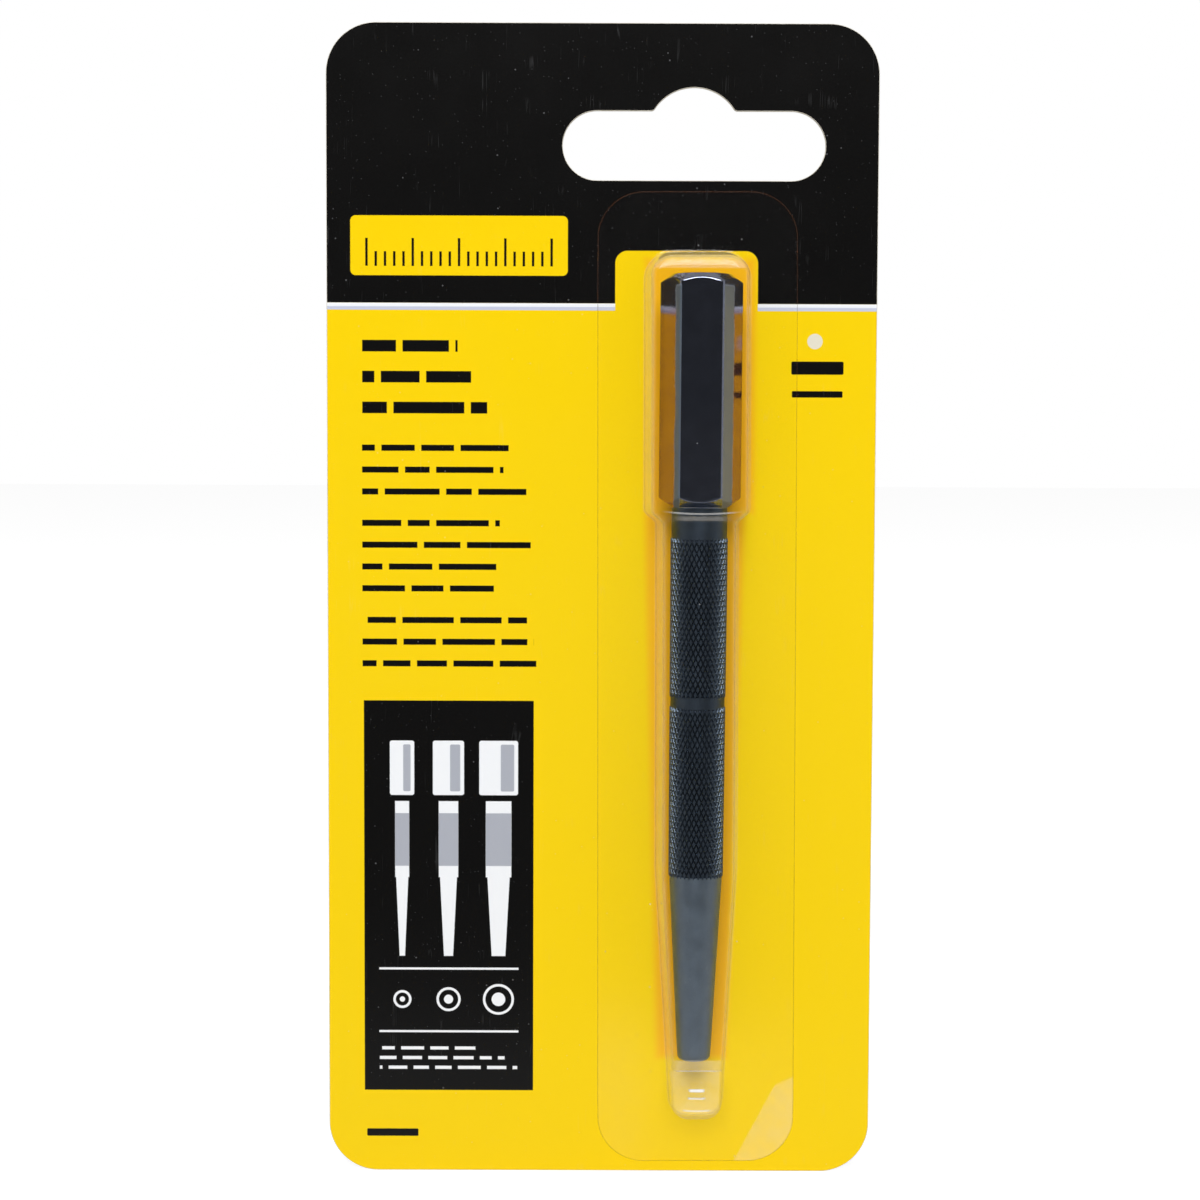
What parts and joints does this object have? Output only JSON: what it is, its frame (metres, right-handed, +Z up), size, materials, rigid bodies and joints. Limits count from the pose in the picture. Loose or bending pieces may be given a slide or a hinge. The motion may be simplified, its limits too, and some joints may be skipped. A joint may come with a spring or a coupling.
{
  "type": "nail setter",
  "caption": "Six-sided blued steel nail set with a knurled grip and tapered cupped tip, loose in a clear blister sealed to a printed hanging card.",
  "frame": {"origin": "highest point of the hang slot's hump, on the back face of the card, where a display hook carries the pack", "axes": "+Z up the card, -Y out of its printed front, +X to the right seen from the front"},
  "size_m": [0.0715, 0.0108, 0.1505],
  "materials": {
    "printed_board": "gloss varnished print, yellow with a black head",
    "clear_sheet": "clear, glossy, thermoformed",
    "blued_steel": "blued, satin"
  },
  "bodies": {
    "pack": {"backing_card": "printed_board", "blister": "clear_sheet"},
    "tool": {"nail_set": "blued_steel"}
  },
  "joints": [
    {"name": "tool_slide", "type": "slide", "parent": "pack", "child": "tool", "axis": [0, 0, 1], "range_m": [-0.0008, 0.0018]}
  ]
}
